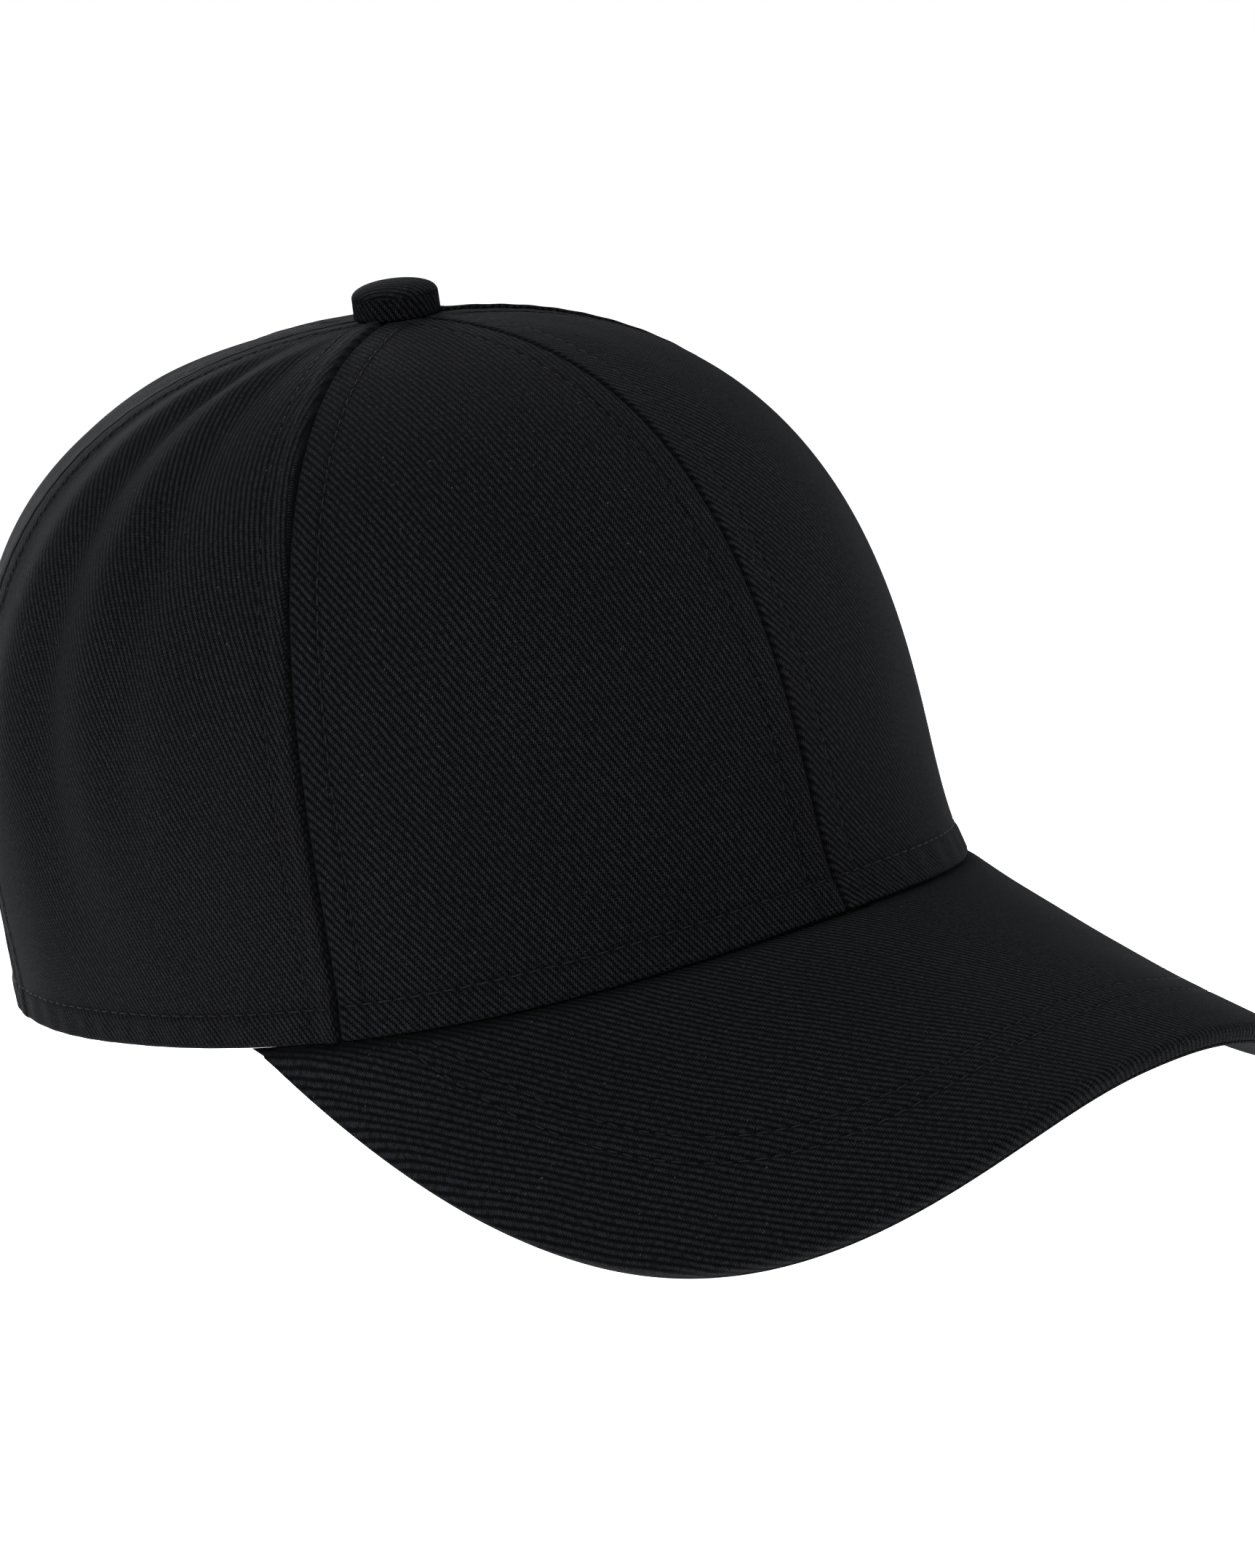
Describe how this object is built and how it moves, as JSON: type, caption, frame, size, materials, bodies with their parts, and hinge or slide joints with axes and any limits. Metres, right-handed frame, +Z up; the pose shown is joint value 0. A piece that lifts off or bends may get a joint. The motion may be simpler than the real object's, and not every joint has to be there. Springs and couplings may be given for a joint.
{
  "type": "baseball cap",
  "caption": "Six-panel baseball cap in dark cotton twill with a structured front, a curved brim, a covered button and a strap with a flip-lock buckle at the back.",
  "frame": {"origin": "centre of the head opening, level with the rim at its sides and back", "axes": "+Z up out of the crown, -Y towards the brim, -X towards the wearer's right"},
  "size_m": [0.168, 0.2768, 0.1638],
  "materials": {
    "twill": "brushed cotton twill, near black",
    "buckram": "stiffened open mesh, fused to the front panels",
    "seam_tape": "woven cotton tape",
    "sweatband_cloth": "cotton twill, folded",
    "foam": "felted interlining",
    "brim_board": "moulded polyethylene board",
    "plain_steel": "plain pressed steel",
    "buckle_metal": "dark nickel, satin",
    "label": "blank woven satin"
  },
  "bodies": {
    "crown": {"front_right_panel": "twill", "front_left_panel": "twill", "side_right_panel": "twill", "side_left_panel": "twill", "back_right_panel": "twill", "back_left_panel": "twill", "front_right_buckram": "buckram", "front_left_buckram": "buckram", "centre_front_tape": "seam_tape", "right_front_tape": "seam_tape", "left_front_tape": "seam_tape", "right_side_tape": "seam_tape", "left_side_tape": "seam_tape", "centre_back_tape": "seam_tape", "arch_facing": "seam_tape", "sweatband": "sweatband_cloth", "sweatband_foam": "foam", "brim_board": "brim_board", "brim_top_cover": "twill", "brim_under_cover": "twill", "button_cover": "twill", "button_shell": "plain_steel", "button_rivet": "plain_steel", "button_washer": "plain_steel", "buckle_tab": "twill", "buckle_frame": "buckle_metal", "buckle_pin": "plain_steel", "size_label": "label"},
    "strap": {"adjuster_strap": "twill"},
    "lever": {"buckle_lever": "buckle_metal"}
  },
  "joints": [
    {"name": "strap_draw", "type": "hinge", "parent": "crown", "child": "strap", "pos_m": [0, 0.02021, 0.014], "axis": [0, 0, -1], "range_deg": [-8, 20]},
    {"name": "buckle_flip", "type": "hinge", "parent": "crown", "child": "lever", "pos_m": [0.00734, 0.09685, 0.014], "axis": [0, 0, 1], "range_deg": [0, 105]}
  ]
}
